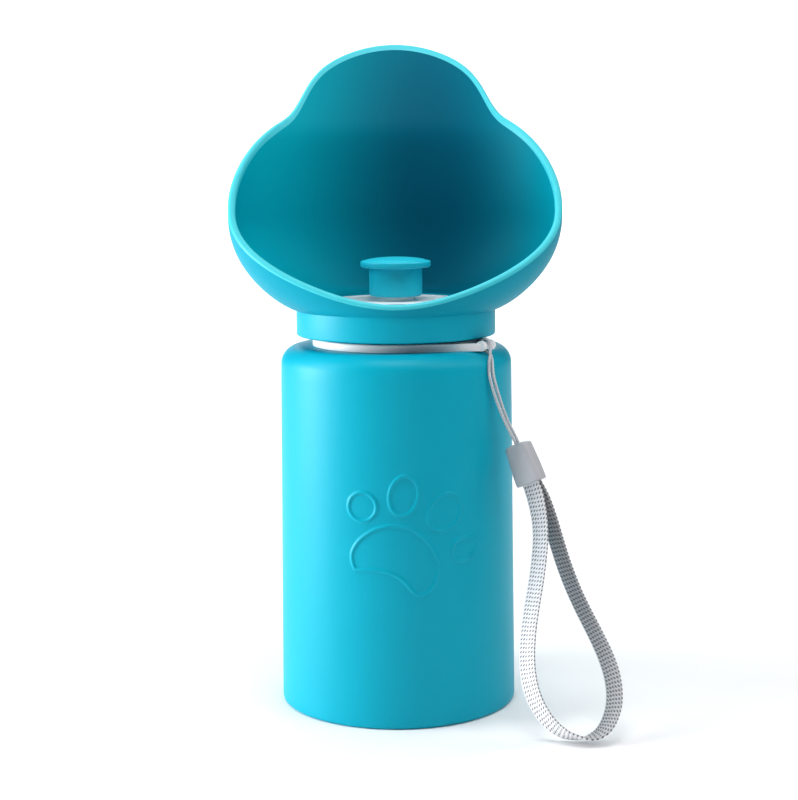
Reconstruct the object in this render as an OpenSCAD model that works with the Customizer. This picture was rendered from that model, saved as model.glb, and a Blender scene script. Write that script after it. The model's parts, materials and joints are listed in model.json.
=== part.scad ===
/* [Bottle body] */
// Radius of the bottle at its base
base_r = 37.0; // [34:0.5:40]
// Radius of the bottle just under the shoulder
shoulder_r = 35.9; // [33:0.1:38]
// Height of the flat on top of the shoulder
shoulder_h = 112.6; // [90:0.1:140]
// Rounding of the shoulder
shoulder_round = 8.0; // [4:0.5:9]
// Rounding of the base's outer edge
base_round = 1.2; // [0.5:0.1:3]
// Thickness of the bottle's wall
wall = 1.6; // [1:0.1:2.5]
// Depth of the ring-shaped hollow in the underside of the base
base_hollow_h = 0.8; // [0.4:0.1:1.5]
// Width of the foot ring round that hollow
foot_w = 5.6; // [3:0.1:10]
// Radius of the flat in the middle of the underside
base_flat_r = 12; // [8:0.5:16]

/* [Neck and thread] */
// Radius of the bottle's mouth
mouth_r = 22.4; // [20:0.1:24]
// Thickness of the neck's wall at the groove that the tether ring turns in
neck_wall = 1.9; // [1.5:0.1:2.4]
// Height of that groove
groove_h = 3.5; // [3.2:0.1:5]
// How far the threaded part of the neck stands out past the groove
finish_step = 1.9; // [1.8:0.1:2.4]
// Height of the threaded part of the neck
finish_h = 5.4; // [5.2:0.1:8]
// Rise of the screw thread in one turn
thread_pitch = 3.0; // [2.8:0.1:3.4]
// Turns that the thread on the neck makes
thread_turns = 1.0; // [0.7:0.05:1]
// Height of the thread's ridge on the neck
thread_h = 1.2; // [1:0.1:1.4]
// Width of a ridge where it leaves the wall
ridge_root_w = 1.5; // [1.2:0.1:1.6]
// Width of a ridge at its crest
ridge_crest_w = 0.7; // [0.5:0.1:0.9]

/* [Screw collar] */
// Thickness of the collar's wall
collar_wall = 2.6; // [2:0.1:3.4]
// Gap between the shoulder and the collar's lower edge
collar_lift = 3.2; // [3:0.1:3.4]
// Space between the neck's thread and the collar's bore
bore_gap = 0.9; // [0.6:0.1:1.1]
// Rounding of the collar's lower edge
collar_round = 0.6; // [0.3:0.1:1]

/* [Drinking hood] */
// How far the hood reaches down beside the valve plate's flange, to the collar
hood_seat = 1.4; // [0.8:0.1:1.7]
// Half of the hood's greatest width, outside
hood_half_w = 51.5; // [46:0.1:58]
// Reach of the hood's front wall from the bottle's axis
hood_front = 36.0; // [34:0.5:42]
// Reach of the hood's back wall from the bottle's axis
hood_back = 37.5; // [35:0.5:44]
// Height in which the hood's side swells to its full width
flare_h = 28.5; // [24:0.5:36]
// How early the side swells, as an exponent
flare_exp = 0.735; // [0.65:0.005:0.95]
// Height of the front lip above the hood's lower edge
lip_h = 1.5; // [1.4:0.1:3.4]
// Slope of the plane that the mouth lies in
mouth_slope = 43.4; // [40:0.1:47]
// Depth of the two notches beside the top lobe
notch_d = 4.6; // [0:0.1:6]
// Direction of a notch, from the side towards the back
notch_az = 43.8; // [40:0.1:48]
// Spread of a notch
notch_w = 8.4; // [6:0.1:11]
// Height of the crease under the top lobe, above the hood's lower edge
crease_h = 54.6; // [50:0.1:60]
// How far the top lobe leans back for each millimetre of its height
lobe_lean = 0.53; // [0.3:0.01:0.6]
// Height over which the crease is rounded
crease_soft = 3; // [1:0.5:6]
// Thickness of the hood's wall and of its rounded rim
hood_wall = 2.3; // [1.8:0.1:2.8]
// Thickness of the ring that is the hood's floor
floor_t = 1.9; // [1.5:0.1:2.4]
// Rounding between the floor and the wall
floor_round = 2.0; // [1:0.1:3]

/* [Valve plate and gasket] */
// Thickness of the gasket on the bottle's mouth
gasket_t = 1.5; // [1:0.1:1.7]
// Thickness of the valve plate's flange
flange_t = 2.0; // [1.4:0.1:2.2]
// Radius of the raised disc that shows in the hood
disc_r = 22.8; // [20:0.1:24]
// Height of that disc above the flange
disc_rise = 1.2; // [0.8:0.1:1.6]
// Space around the disc and around the flange
plate_gap = 0.4; // [0.3:0.05:0.6]
// Radius of the inner ring groove in the disc
inner_groove_r = 14.5; // [12:0.5:16]
// Radius of the outer ring groove in the disc
outer_groove_r = 19.0; // [17.5:0.5:19.5]
// Width and depth of a ring groove
ring_groove = 0.6; // [0.3:0.1:0.8]
// Outer radius of the spout post
post_r = 6.0; // [5.5:0.1:6.5]
// Height of the spout post above the disc
post_h = 7.8; // [7.8:0.1:9]
// Radius of the water channel in the post
channel_r = 3.4; // [3.2:0.1:3.8]
// Height of each water window in the post
window_h = 3.0; // [2:0.1:3.4]
// Width of each water window in the post
window_w = 2.6; // [2:0.1:3]
// Number of water windows
windows = 4; // [2:1:6]

/* [Valve cap and plunger] */
// Radius of the cap's finger flange
cap_flange_r = 10.95; // [10:0.05:13]
// Thickness of the finger flange
cap_flange_t = 1.9; // [1.5:0.1:2.6]
// Height of the cap's shallow dome
cap_dome = 1.2; // [0.6:0.1:2]
// Radius of the cap's skirt
cap_skirt_r = 8.25; // [7.8:0.05:9]
// Length of the cap's skirt under the flange
cap_skirt_h = 8.9; // [8.6:0.1:11]
// Height of the cap's lower edge above the plate
cap_lift = 1.4; // [0.8:0.1:2]
// Running space between the cap and the post
cap_gap = 0.35; // [0.3:0.05:0.5]
// Rounding of the cap's edges
cap_round = 0.8; // [0.4:0.1:0.9]
// Travel of the cap from shut to open
valve_travel = 6.0; // [4:0.5:6]
// Radius of the plunger's rod
rod_r = 1.5; // [1.2:0.1:1.8]
// Length of the plunger's head
head_h = 2.6; // [2.4:0.1:3]
// Running space between the plunger's head and its channel
head_gap = 0.4; // [0.3:0.05:0.5]
// Thickness of the seal ring's cord
seal_t = 1.7; // [1.4:0.1:1.8]
// Squeeze room left round the seal ring
seal_gap = 0.1; // [0.05:0.05:0.2]
// Radius of the clip that keeps the plunger in
clip_r = 4.8; // [4.4:0.1:6]
// Thickness of that clip
clip_t = 1.0; // [0.8:0.1:1.5]

/* [Tether ring] */
// Thickness of the ring's band
band_t = 1.3; // [1:0.1:1.4]
// Height of the ring's band
band_h = 2.6; // [2.2:0.1:2.6]
// Running space round the ring
band_gap = 0.4; // [0.3:0.05:0.5]
// Direction of the ring's ear, from +X
ear_az = -36; // [-60:1:-20]
// Distance from the bottle's axis to the bar in the ear
bar_at = 33.4; // [32.5:0.1:34]
// Radius of that bar
bar_r = 1.2; // [1:0.05:1.2]
// Half of the space between the ear's two arms, at the bar
ear_half = 1.85; // [1.6:0.05:2.2]

/* [Lanyard] */
// Diameter of the string
string_d = 1.0; // [0.8:0.1:1.2]
// Width of the webbing
web_w = 6.0; // [4:0.1:6.2]
// Thickness of the webbing
web_t = 0.9; // [0.6:0.1:1]
// Length of the sleeve that joins string and webbing
sleeve_l = 12.6; // [10:0.1:14]
// Width of the sleeve
sleeve_w = 9.0; // [8:0.1:11]
// Thickness of the sleeve
sleeve_t = 5.6; // [5:0.1:7]
// Rounding of the sleeve's long edges
sleeve_round = 1.6; // [0.6:0.1:2]
// Depth of the pockets in the sleeve's two ends
pocket_d = 3.0; // [2:0.1:4]

/* [Paw outline] */
// Width of the raised line
line_w = 1.1; // [0.6:0.1:1.6]
// Height of the raised line
line_h = 0.4; // [0.2:0.05:0.8]
// Place of the outline's middle, across the front
paw_x = 1.5; // [-4:0.5:4]
// Height of the outline's middle
paw_z = 57; // [50:1:64]
// Scale of the outline
paw_scale = 1; // [0.7:0.05:1.15]

/* [Hidden] */
$fn = 96;
// Overlap that joins two shapes of one piece, and how far a cutter runs past a face
eps = 0.01;
over = 1;

// Neck's radii, and heights of the pieces, one on the other, up from the floor
shoulder_c = shoulder_h - shoulder_round;
groove_r = mouth_r + neck_wall;
finish_r = groove_r + finish_step;
finish_z = shoulder_h + groove_h;
mouth_z = finish_z + finish_h;
plate_z = mouth_z + gasket_t;
flange_top = plate_z + flange_t;
disc_top = flange_top + disc_rise;
hood_z = flange_top - hood_seat;
collar_z = shoulder_h + collar_lift;
collar_h = hood_z - collar_z;
floor_top = flange_top + floor_t;
crease_z = hood_z + crease_h;

// Inside corner of the base
base_corner = 3;

// Threads: the collar's ridge runs half a pitch under the neck's
ridge_in = 0.3;
ridge_steps = 48;
ridge_clear = 0.5;
thread_start = 0.4;
thread_skip = 0.45;
crest_r = finish_r + thread_h;
bore_r = crest_r + bore_gap;
collar_r = bore_r + collar_wall;
collar_crest_r = finish_r + ridge_clear;
neck_thread_z = finish_z + ridge_root_w / 2 + thread_start;
collar_thread_z = neck_thread_z + (thread_skip - 0.5) * thread_pitch;

// Gasket and plate: how far the gasket stays inside the neck's two edges
gasket_in = 0.2;
gasket_r = finish_r - gasket_in;
flange_r = bore_r - plate_gap;

// Hood surface: azimuth steps, rings along the wall, and how they crowd towards the floor
az_steps = 96;
wall_steps = 12;
rim_steps = 5;
outer_crowd = 1.15;
inner_crowd = 0.87;
rim_tries = 30;
// Where the mouth's plane meets the front, and the heights at which wall and floor meet inside
lip_r = collar_r + 2.1;
floor_edge_z = hood_z + 1.5;
wall_end_z = floor_top - 0.1;
edge_rise = 0.25;
edge_share = 0.3;
hole_r = disc_r + plate_gap;

// Valve: the post, the cap over it and the plunger in it
window_sill = 0.7;
cap_headroom = 0.6;
head_inset = 0.4;
rod_grip = 2.4;
rod_tip = 0.8;
clip_space = 0.3;
clip_in = 0.4;
post_top = disc_top + post_h;
window_z = disc_top + window_sill;
cap_z = disc_top + cap_lift;
cap_flange_z = cap_z + cap_skirt_h;
cap_top = cap_flange_z + cap_flange_t;
cap_hollow_r = post_r + cap_gap;
cap_hollow_top = post_top + cap_headroom;
head_r = channel_r - head_gap;
head_z = plate_z + head_inset;
seal_outer_r = channel_r - seal_gap;
seal_z = head_z + head_h / 2;
rod_top = cap_hollow_top + rod_grip;
clip_top = plate_z - valve_travel - clip_space;
clip_z = clip_top - clip_t;
rod_z = clip_z - rod_tip;

// Tether ring
band_lift = 0.3;
bar_drop = 0.2;
bar_inset = 0.2;
eye_wall = 0.4;
arm_inset = 0.1;
arm_t = band_t - 2 * arm_inset;
arm_h = band_h - 2 * arm_inset;
eye_r = bar_r + eye_wall;
band_in = groove_r + band_gap;
band_out = band_in + band_t;
band_z = shoulder_h + band_lift;
bar_z = band_z + band_h / 2 - bar_drop;

// Lanyard, in the ear's own frame: out from the axis, along the bar, up from the floor
sleeve_at = [45.7, 2.3, 78.9];
sleeve_lean = 24;
strand_gap = 0.7;
arm_gap = 0.65;
pocket_gap = 0.35;
string_sides = 8;
web_bevel = 0.3;

string_route = [
    [44.36, 1.6, 82.0], [43.1, 1.6, 84.7], [41.5, 1.1, 87.8], [40.0, 0.2, 91.4], [38.5, -0.9, 96],
    [37.3, -2.1, 101], [36.6, -3.0, 105.5], [36.0, -2.3, 109.2], [35.8, -1.4, 111.4],
    [35.4, -0.8, 113.7], [34.9, -0.55, 115.3], [33.7, -0.3, 116.0], [32.3, 0.0, 115.7],
    [31.5, 0.25, 114.6], [31.5, 0.4, 113.3], [32.3, 0.6, 112.3], [33.7, 0.7, 111.9],
    [35.0, 0.4, 110.9], [36.0, -0.5, 109], [36.9, -1.4, 105.5], [37.6, -0.4, 101],
    [38.8, 0.6, 96], [40.2, 1.6, 91.4], [41.7, 2.5, 87.8], [43.1, 3.0, 84.7], [44.36, 3.0, 82.0]];

web_route = [
    [47.04, 1.65, 75.8], [48.3, 1.65, 73.1], [49.8, 1.8, 69], [51.3, 1.6, 63], [52.3, 0.7, 57],
    [52.8, -0.9, 51], [53.1, -3.2, 44], [53.4, -6.0, 37], [54.0, -8.8, 30], [55.0, -11.0, 23.8],
    [56.8, -12.8, 17.6], [59.6, -13.9, 12.0], [63.4, -13.8, 7.0], [67.4, -12.6, 3.7],
    [71.5, -11.0, 2.4], [75.2, -8.8, 2.3], [77.6, -5.6, 3.9], [78.0, -1.4, 7.2], [77.2, 2.0, 11.5],
    [75.2, 4.4, 16.8], [71.9, 6.0, 22.6], [67.8, 6.6, 29], [63.6, 6.7, 35.5], [60.0, 6.6, 42],
    [57.0, 6.3, 49], [54.8, 5.9, 55.5], [52.9, 5.2, 62], [50.6, 4.1, 68.4], [48.3, 2.95, 73.1],
    [47.04, 2.95, 75.8]];
// Directions that the string's section and the webbing's width lean to, in the ear's frame; the
// webbing leaves the sleeve flat in its slot, and has turned after so many points of its path
string_face = [0, 1, 0.1];
web_face = [0.92, -0.15, 0.2];
web_hold = 3;
web_turn = 8;

// Paw outline: ellipses [x, z, half width, half height, turn] and the points of the pad
toes = [[-11.8, 11, 4.1, 4.3, 0], [0.4, 14.4, 4.3, 6.0, -10], [12.5, 8.9, 4.7, 5.9, -30],
    [18.2, -3, 3.6, 3.6, 0]];
pad = [[-14.4, -7.6], [-15.1, -3.6], [-13.2, 0.4], [-9.4, 3.6], [-5.4, 5.2], [-1.6, 5.5],
    [2.6, 4.5], [6.8, 1.0], [9.8, -3.6], [10.5, -8.2], [9.6, -12.2], [7.8, -14.9], [5.6, -15.8],
    [3.4, -14.9], [0.0, -11.0], [-3.6, -8.9], [-8.2, -8.0], [-12.4, -8.0]];
pad_steps = 3;
toe_steps = 28;

// ---- functions ----

function unit(v) = v / norm(v);
function ellipse_r(az, a, b) = 1 / sqrt(pow(cos(az) / a, 2) + pow(sin(az) / b, 2));

// Hood's outside at an azimuth and a height: it swells from the collar's round to an oval,
// and its back half leans outwards above the crease
function swell(z) = sin(90 * pow(min(max((z - hood_z) / flare_h, 0), 1), flare_exp));
function lean(z) = let (d = z - crease_z) lobe_lean * (d + sqrt(d * d + crease_soft * crease_soft)) / 2;
function hood_r(az, z) =
    collar_r + (ellipse_r(az, hood_half_w, sin(az) < 0 ? hood_front : hood_back) - collar_r) * swell(z)
    + (sin(az) > 0 ? lean(z) : 0);
function hood_p(az, z) = let (r = hood_r(az, z)) [r * cos(az), r * sin(az), z];
// Outward normal of that surface
function hood_n(az, z) = let (a = hood_p(az + 0.5, z) - hood_p(az - 0.5, z),
    b = hood_p(az, z + 0.2) - hood_p(az, z - 0.2)) unit(cross(a, b));
function hood_t(az, z) = unit(hood_p(az, z + 0.2) - hood_p(az, z - 0.2));
function in_p(az, z) = hood_p(az, z) - hood_wall * hood_n(az, z);
// Height of the rim: the mouth's plane, less the two notches
function notch(az) = notch_d * exp(-pow((90 - abs(90 - az) - notch_az) / notch_w, 2) / 2);
function plane_z(y) = hood_z + lip_h + (y + lip_r) * tan(mouth_slope);
function rim_z(az, z, n) = n == 0 ? z : rim_z(az, (z + plane_z(hood_p(az, z)[1])) / 2, n - 1);
function top_z(az) = rim_z(az, hood_z + flare_h, rim_tries) - notch(az);

// One azimuth's closed section: up the outside, over the rim, down the inside and along the floor
function turned(az, r, z) = [r * cos(az), r * sin(az), z];
function floor_p(az, in, up) = let (p = in_p(az, floor_edge_z))
    turned(az, norm([p[0], p[1]]) - in, floor_top + up);
function outer_p(az, zt, share) = hood_p(az, hood_z + (zt - hood_z) * pow(share, outer_crowd));
function inner_p(az, zt, share) = in_p(az, zt + (min(wall_end_z, zt - 0.2) - zt) * pow(share, inner_crowd));
function rim_p(az, zt, a) = hood_p(az, zt)
    + hood_wall / 2 * ((cos(a) - 1) * hood_n(az, zt) + sin(a) * hood_t(az, zt));
function hood_section(az) = let (zt = top_z(az)) concat(
    [for (i = [0:wall_steps]) outer_p(az, zt, i / wall_steps)],
    [for (i = [1:rim_steps]) rim_p(az, zt, 180 * i / (rim_steps + 1))],
    [for (i = [0:wall_steps - 1]) inner_p(az, zt, i / (wall_steps - 1))],
    [floor_p(az, floor_round * edge_share, edge_rise), floor_p(az, floor_round, 0),
        turned(az, hole_r, floor_top), turned(az, hole_r, flange_top),
        turned(az, bore_r, flange_top), turned(az, bore_r, hood_z)]);

// Faces of a closed grid of rings; the rings run round and the grid closes on itself
function grid_faces(n, m) = [for (i = [0:n - 1]) for (j = [0:m - 1])
    let (k = (j + 1) % m, up = ((i + 1) % n) * m)
        each [[i * m + j, i * m + k, up + k], [i * m + j, up + k, up + j]]];
// Faces of an open tube of n rings with m sides, with both ends closed
function tube_faces(n, m) = concat(
    [for (i = [0:n - 2]) for (j = [0:m - 1])
        let (k = (j + 1) % m, up = (i + 1) * m)
            each [[i * m + j, up + k, i * m + k], [i * m + j, up + j, up + k]]],
    [[for (j = [0:m - 1]) j]], [[for (j = [m - 1:-1:0]) (n - 1) * m + j]]);

// A point on a smooth curve through four route points, and a whole route made finer
function curve(a, b, c, d, t) = ((2 * b) + (c - a) * t + (2 * a - 5 * b + 4 * c - d) * t * t
    + (3 * b - a - 3 * c + d) * t * t * t) / 2;
function finer(p, k) = [for (i = [0:len(p) - 2]) for (j = [0:k - 1])
    curve(p[max(i - 1, 0)], p[i], p[i + 1], p[min(i + 2, len(p) - 1)], j / k)];
function open_curve(p, k) = concat(finer(p, k), [p[len(p) - 1]]);
function closed_curve(p, k) = let (n = len(p)) [for (i = [0:n - 1]) for (j = [0:k - 1])
    curve(p[(i + n - 1) % n], p[i], p[(i + 1) % n], p[(i + 2) % n], j / k)];
function tangent(p, i) = unit(p[min(i + 1, len(p) - 1)] - p[max(i - 1, 0)]);

// A section swept along a path: its first axis leans to the point's face direction
function swept(p, section, faces) = [for (i = [0:len(p) - 1])
    let (t = tangent(p, i), u = unit(faces[i] - (faces[i] * t) * t), v = cross(t, u))
        for (s = section) p[i] + s[0] * u + s[1] * v];
// Face directions that turn from one at both ends of a path to another along it
function turning(n, ends, middle) = [for (i = [0:n - 1])
    let (w = min(max((min(i, n - 1 - i) - web_hold) / web_turn, 0), 1), s = w * w * (3 - 2 * w))
        (1 - s) * ends + s * unit(middle)];

// ---- shared shapes ----

// A helical ridge with a four-sided section, standing out from r0 to r1
module ridge(r0, r1, z0, start, turns) {
    n = ceil(turns * ridge_steps);
    root = ridge_root_w / 2;
    crest = ridge_crest_w / 2;
    section = r1 > r0 ? [[r0, root], [r1, crest], [r1, -crest], [r0, -root]]
        : [[r0, -root], [r1, -crest], [r1, crest], [r0, root]];
    points = [for (i = [0:n]) let (turn = i / ridge_steps)
        for (s = section) turned(start + 360 * turn, s[0], z0 + turn * thread_pitch + s[1])];
    polyhedron(points, tube_faces(n + 1, 4));
}

module ring(r_in, r_out, z, h) {
    translate([0, 0, z]) difference() {
        cylinder(r = r_out, h = h);
        translate([0, 0, -over]) cylinder(r = r_in, h = h + 2 * over);
    }
}

// Into the ear's own frame, and into the sleeve's frame within it
module ear_frame() { rotate([0, 0, ear_az]) children(); }
module sleeve_frame() {
    ear_frame() translate(sleeve_at) rotate([0, -sleeve_lean, 0]) children();
}

// ---- bottle ----

module body_outside(grow) {
    c = shoulder_r - shoulder_round;
    union() {
        polygon([[0, 0], [base_r - base_round, 0], [base_r + grow, base_round],
            [shoulder_r + grow, shoulder_c], [c, shoulder_h + grow], [0, shoulder_h + grow]]);
        translate([base_r - base_round, base_round]) circle(r = base_round);
        translate([c, shoulder_c]) circle(r = shoulder_round + grow);
    }
}

module body_inside() {
    c = shoulder_r - shoulder_round;
    floor_z = base_hollow_h + wall;
    in_r = base_r - wall;
    union() {
        polygon([[0, floor_z], [in_r - base_corner, floor_z], [in_r, floor_z + base_corner],
            [shoulder_r - wall, shoulder_c], [c, shoulder_h - wall], [0, shoulder_h - wall]]);
        translate([c, shoulder_c]) circle(r = shoulder_round - wall);
        translate([0, shoulder_h - 2 * wall]) square([mouth_r, mouth_z - shoulder_h + 2 * wall + over]);
    }
}

module line_ring(outer, inner) {
    difference() {
        polygon(outer);
        polygon(inner);
    }
}

module toe_line(t) {
    translate([t[0], t[1]]) rotate(t[4]) line_ring(
        [for (i = [0:toe_steps - 1]) let (a = 360 * i / toe_steps)
            [(t[2] + line_w / 2) * cos(a), (t[3] + line_w / 2) * sin(a)]],
        [for (i = [0:toe_steps - 1]) let (a = 360 * i / toe_steps)
            [(t[2] - line_w / 2) * cos(a), (t[3] - line_w / 2) * sin(a)]]);
}

module pad_line() {
    p = closed_curve(pad, pad_steps);
    n = len(p);
    side = [for (i = [0:n - 1]) let (t = unit(p[(i + 1) % n] - p[(i + n - 1) % n])) [-t[1], t[0]]];
    line_ring([for (i = [0:n - 1]) p[i] + side[i] * line_w / 2],
        [for (i = [0:n - 1]) p[i] - side[i] * line_w / 2]);
}

module paw_lines() {
    scale(paw_scale) {
        for (t = toes) toe_line(t);
        pad_line();
    }
}

// The raised lines: the flat outline pushed through the front wall, kept only in a thin skin
module paw_relief() {
    intersection() {
        translate([paw_x, -base_r - over, paw_z]) rotate([-90, 0, 0]) mirror([0, 1, 0])
            linear_extrude(height = base_r) paw_lines();
        difference() {
            rotate_extrude() body_outside(line_h);
            rotate_extrude() body_outside(-wall / 2);
        }
    }
}

module bottle_body() {
    color([0.10, 0.68, 0.77]) union() {
        difference() {
            union() {
                rotate_extrude() body_outside(0);
                cylinder(r = groove_r, h = mouth_z);
                translate([0, 0, finish_z]) cylinder(r = finish_r, h = finish_h);
            }
            rotate_extrude() body_inside();
            ring(base_flat_r, base_r - base_round - foot_w, -over, base_hollow_h + over);
        }
        ridge(finish_r - ridge_in, crest_r, neck_thread_z, 0, thread_turns);
        paw_relief();
    }
}

// ---- tether ring ----

// One arm of the ear: it leaves the band along a tangent and ends in an eye round the bar
module ear_arm() {
    mid = band_in + band_t / 2;
    end = [bar_at, ear_half + band_t / 2];
    reach = norm(end);
    az = atan2(end[1], end[0]) + acos(mid / reach);
    long = sqrt(reach * reach - mid * mid);
    rotate([0, 0, az]) translate([mid - arm_t / 2, -long, band_z + arm_inset]) cube([arm_t, long, arm_h]);
    translate([end[0], end[1], bar_z]) rotate([90, 0, 0]) cylinder(r = eye_r, h = band_t, center = true);
}

module tether_ring() {
    color([0.93, 0.93, 0.95]) union() {
        ring(band_in, band_out, band_z, band_h);
        ear_frame() {
            ear_arm();
            mirror([0, 1, 0]) ear_arm();
            translate([bar_at, 0, bar_z]) rotate([90, 0, 0])
                cylinder(r = bar_r, h = 2 * (ear_half + band_t - bar_inset), center = true);
        }
    }
}

// ---- screw collar and hood ----

module screw_collar() {
    thick = collar_r - bore_r;
    color([0.10, 0.68, 0.77]) union() {
        rotate_extrude() union() {
            translate([bore_r, collar_z + collar_round]) square([thick, collar_h - collar_round]);
            translate([bore_r, collar_z]) square([thick - collar_round, collar_round + eps]);
            translate([collar_r - collar_round, collar_z + collar_round]) circle(r = collar_round);
        }
        ridge(bore_r + ridge_in, collar_crest_r, collar_thread_z, 360 * thread_skip, thread_turns);
    }
}

module drinking_hood() {
    sections = [for (i = [0:az_steps - 1]) hood_section(360 * i / az_steps)];
    m = len(sections[0]);
    color([0.10, 0.68, 0.77])
        polyhedron([for (s = sections) each s], grid_faces(az_steps, m));
}

// ---- valve ----

module mouth_gasket() {
    color([0.86, 0.88, 0.88]) ring(mouth_r + gasket_in, gasket_r, mouth_z, gasket_t);
}

module valve_plate() {
    color([0.93, 0.93, 0.95]) difference() {
        union() {
            translate([0, 0, plate_z]) cylinder(r = flange_r, h = flange_t);
            translate([0, 0, flange_top - eps]) cylinder(r = disc_r, h = disc_rise + eps);
            translate([0, 0, disc_top - eps]) cylinder(r = post_r, h = post_h + eps);
        }
        translate([0, 0, plate_z - over]) cylinder(r = channel_r, h = post_top - plate_z + 2 * over);
        for (r = [inner_groove_r, outer_groove_r])
            ring(r - ring_groove / 2, r + ring_groove / 2, disc_top - ring_groove, ring_groove + over);
        for (i = [0:windows - 1]) rotate([0, 0, 360 * (i + 0.5) / windows])
            translate([0, -window_w / 2, window_z]) cube([post_r + over, window_w, window_h]);
    }
}

module valve_cap() {
    dome_r = (pow(cap_flange_r, 2) + pow(cap_dome, 2)) / (2 * cap_dome);
    color([0.10, 0.68, 0.77]) difference() {
        rotate_extrude() union() {
            translate([0, cap_flange_z]) square([cap_flange_r - cap_round, cap_flange_t]);
            translate([0, cap_flange_z + cap_round])
                square([cap_flange_r, max(cap_flange_t - 2 * cap_round, eps)]);
            translate([cap_flange_r - cap_round, cap_flange_z + cap_round]) circle(r = cap_round);
            translate([cap_flange_r - cap_round, cap_top - cap_round]) circle(r = cap_round);
            translate([0, cap_z + cap_round]) square([cap_skirt_r, cap_skirt_h - cap_round + eps]);
            translate([0, cap_z]) square([cap_skirt_r - cap_round, cap_round + eps]);
            translate([cap_skirt_r - cap_round, cap_z + cap_round]) circle(r = cap_round);
            intersection() {
                translate([0, cap_top + cap_dome - dome_r]) circle(r = dome_r, $fn = 360);
                translate([0, cap_top - eps]) square([cap_flange_r - cap_round, cap_dome + over]);
            }
        }
        translate([0, 0, cap_z - over]) cylinder(r = cap_hollow_r, h = cap_hollow_top - cap_z + over);
        cylinder(r = rod_r, h = rod_top);
    }
}

module valve_plunger() {
    color([0.93, 0.93, 0.95]) difference() {
        union() {
            translate([0, 0, rod_z]) cylinder(r = rod_r, h = rod_top - rod_z);
            translate([0, 0, head_z]) cylinder(r = head_r, h = head_h);
        }
        ring(seal_outer_r - seal_t, head_r + over, seal_z - seal_t / 2, seal_t);
        ring(rod_r - clip_in, rod_r + over, clip_z, clip_t);
    }
}

module plunger_seal() {
    color([0.25, 0.26, 0.27]) translate([0, 0, seal_z]) rotate_extrude()
        translate([seal_outer_r - seal_t / 2, 0]) circle(r = seal_t / 2, $fn = 48);
}

module plunger_clip() {
    color([0.86, 0.88, 0.88]) ring(rod_r - clip_in, clip_r, clip_z, clip_t);
}

// ---- lanyard ----

module lanyard_string() {
    section = [for (j = [0:string_sides - 1]) let (a = 360 * j / string_sides)
        string_d / 2 * [cos(a), sin(a)]];
    color([0.90, 0.90, 0.92]) ear_frame() polyhedron(
        swept(string_route, section, [for (p = string_route) string_face]),
        tube_faces(len(string_route), string_sides));
}

module lanyard_sleeve() {
    a = sleeve_w / 2;
    b = sleeve_t / 2;
    r = sleeve_round;
    string_slot = [string_d + 2 * pocket_gap, 2 * strand_gap + string_d + 2 * pocket_gap];
    web_slot = [web_w + 2 * pocket_gap, 2 * arm_gap + web_t + 2 * pocket_gap];
    color([0.80, 0.81, 0.83]) sleeve_frame() difference() {
        translate([0, 0, -sleeve_l / 2]) linear_extrude(height = sleeve_l) union() {
            square([2 * (a - r), 2 * b], center = true);
            square([2 * a, 2 * (b - r)], center = true);
            for (x = [-1, 1]) for (y = [-1, 1]) translate([x * (a - r), y * (b - r)]) circle(r = r);
        }
        translate([-string_slot[0] / 2, -string_slot[1] / 2, sleeve_l / 2 - pocket_d])
            cube([string_slot[0], string_slot[1], pocket_d + over]);
        translate([-web_slot[0] / 2, -web_slot[1] / 2, -sleeve_l / 2 - over])
            cube([web_slot[0], web_slot[1], pocket_d + over]);
    }
}

module wrist_webbing() {
    p = open_curve(web_route, 2);
    a = web_w / 2;
    b = web_t / 2;
    c = web_t * web_bevel;
    section = [[a, -b + c], [a, b - c], [a - c, b], [-a + c, b],
        [-a, b - c], [-a, -b + c], [-a + c, -b], [a - c, -b]];
    flat = [cos(sleeve_lean), 0, sin(sleeve_lean)];
    color([0.82, 0.83, 0.85]) ear_frame()
        polyhedron(swept(p, section, turning(len(p), flat, web_face)), tube_faces(len(p), len(section)));
}

bottle_body();
tether_ring();
screw_collar();
drinking_hood();
mouth_gasket();
valve_plate();
valve_cap();
valve_plunger();
plunger_seal();
plunger_clip();
lanyard_string();
lanyard_sleeve();
wrist_webbing();
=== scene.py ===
"""Looks of the dog travel water bottle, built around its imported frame.

Sizes are in millimetres, and a mesh is made in metres. Everything is in the frame's own axes:
Z up along the bottle's axis, the paw outline to the front at -Y and the tall side of the hood to the back.
"""

import json
import math

import bmesh
import bpy
import numpy as np
from mathutils import Matrix, Vector


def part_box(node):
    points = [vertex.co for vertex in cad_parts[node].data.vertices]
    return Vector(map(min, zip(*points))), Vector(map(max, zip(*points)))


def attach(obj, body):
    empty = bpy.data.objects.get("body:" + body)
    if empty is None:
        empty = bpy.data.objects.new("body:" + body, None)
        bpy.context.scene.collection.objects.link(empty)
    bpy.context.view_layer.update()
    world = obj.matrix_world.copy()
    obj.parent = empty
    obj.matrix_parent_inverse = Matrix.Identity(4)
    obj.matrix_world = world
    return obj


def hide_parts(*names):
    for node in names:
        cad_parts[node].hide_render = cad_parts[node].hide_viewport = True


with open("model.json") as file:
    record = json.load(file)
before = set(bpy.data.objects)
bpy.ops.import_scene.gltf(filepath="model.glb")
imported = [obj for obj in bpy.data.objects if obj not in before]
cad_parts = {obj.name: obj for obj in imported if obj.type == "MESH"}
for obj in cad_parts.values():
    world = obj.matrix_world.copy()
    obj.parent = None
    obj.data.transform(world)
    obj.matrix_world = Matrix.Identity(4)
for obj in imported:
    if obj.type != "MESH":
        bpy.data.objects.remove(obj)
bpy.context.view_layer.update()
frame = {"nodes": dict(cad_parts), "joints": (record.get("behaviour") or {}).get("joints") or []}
MM = 0.001


def low(node):
    return np.array(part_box(node)[0]) / MM


def high(node):
    return np.array(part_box(node)[1]) / MM


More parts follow.
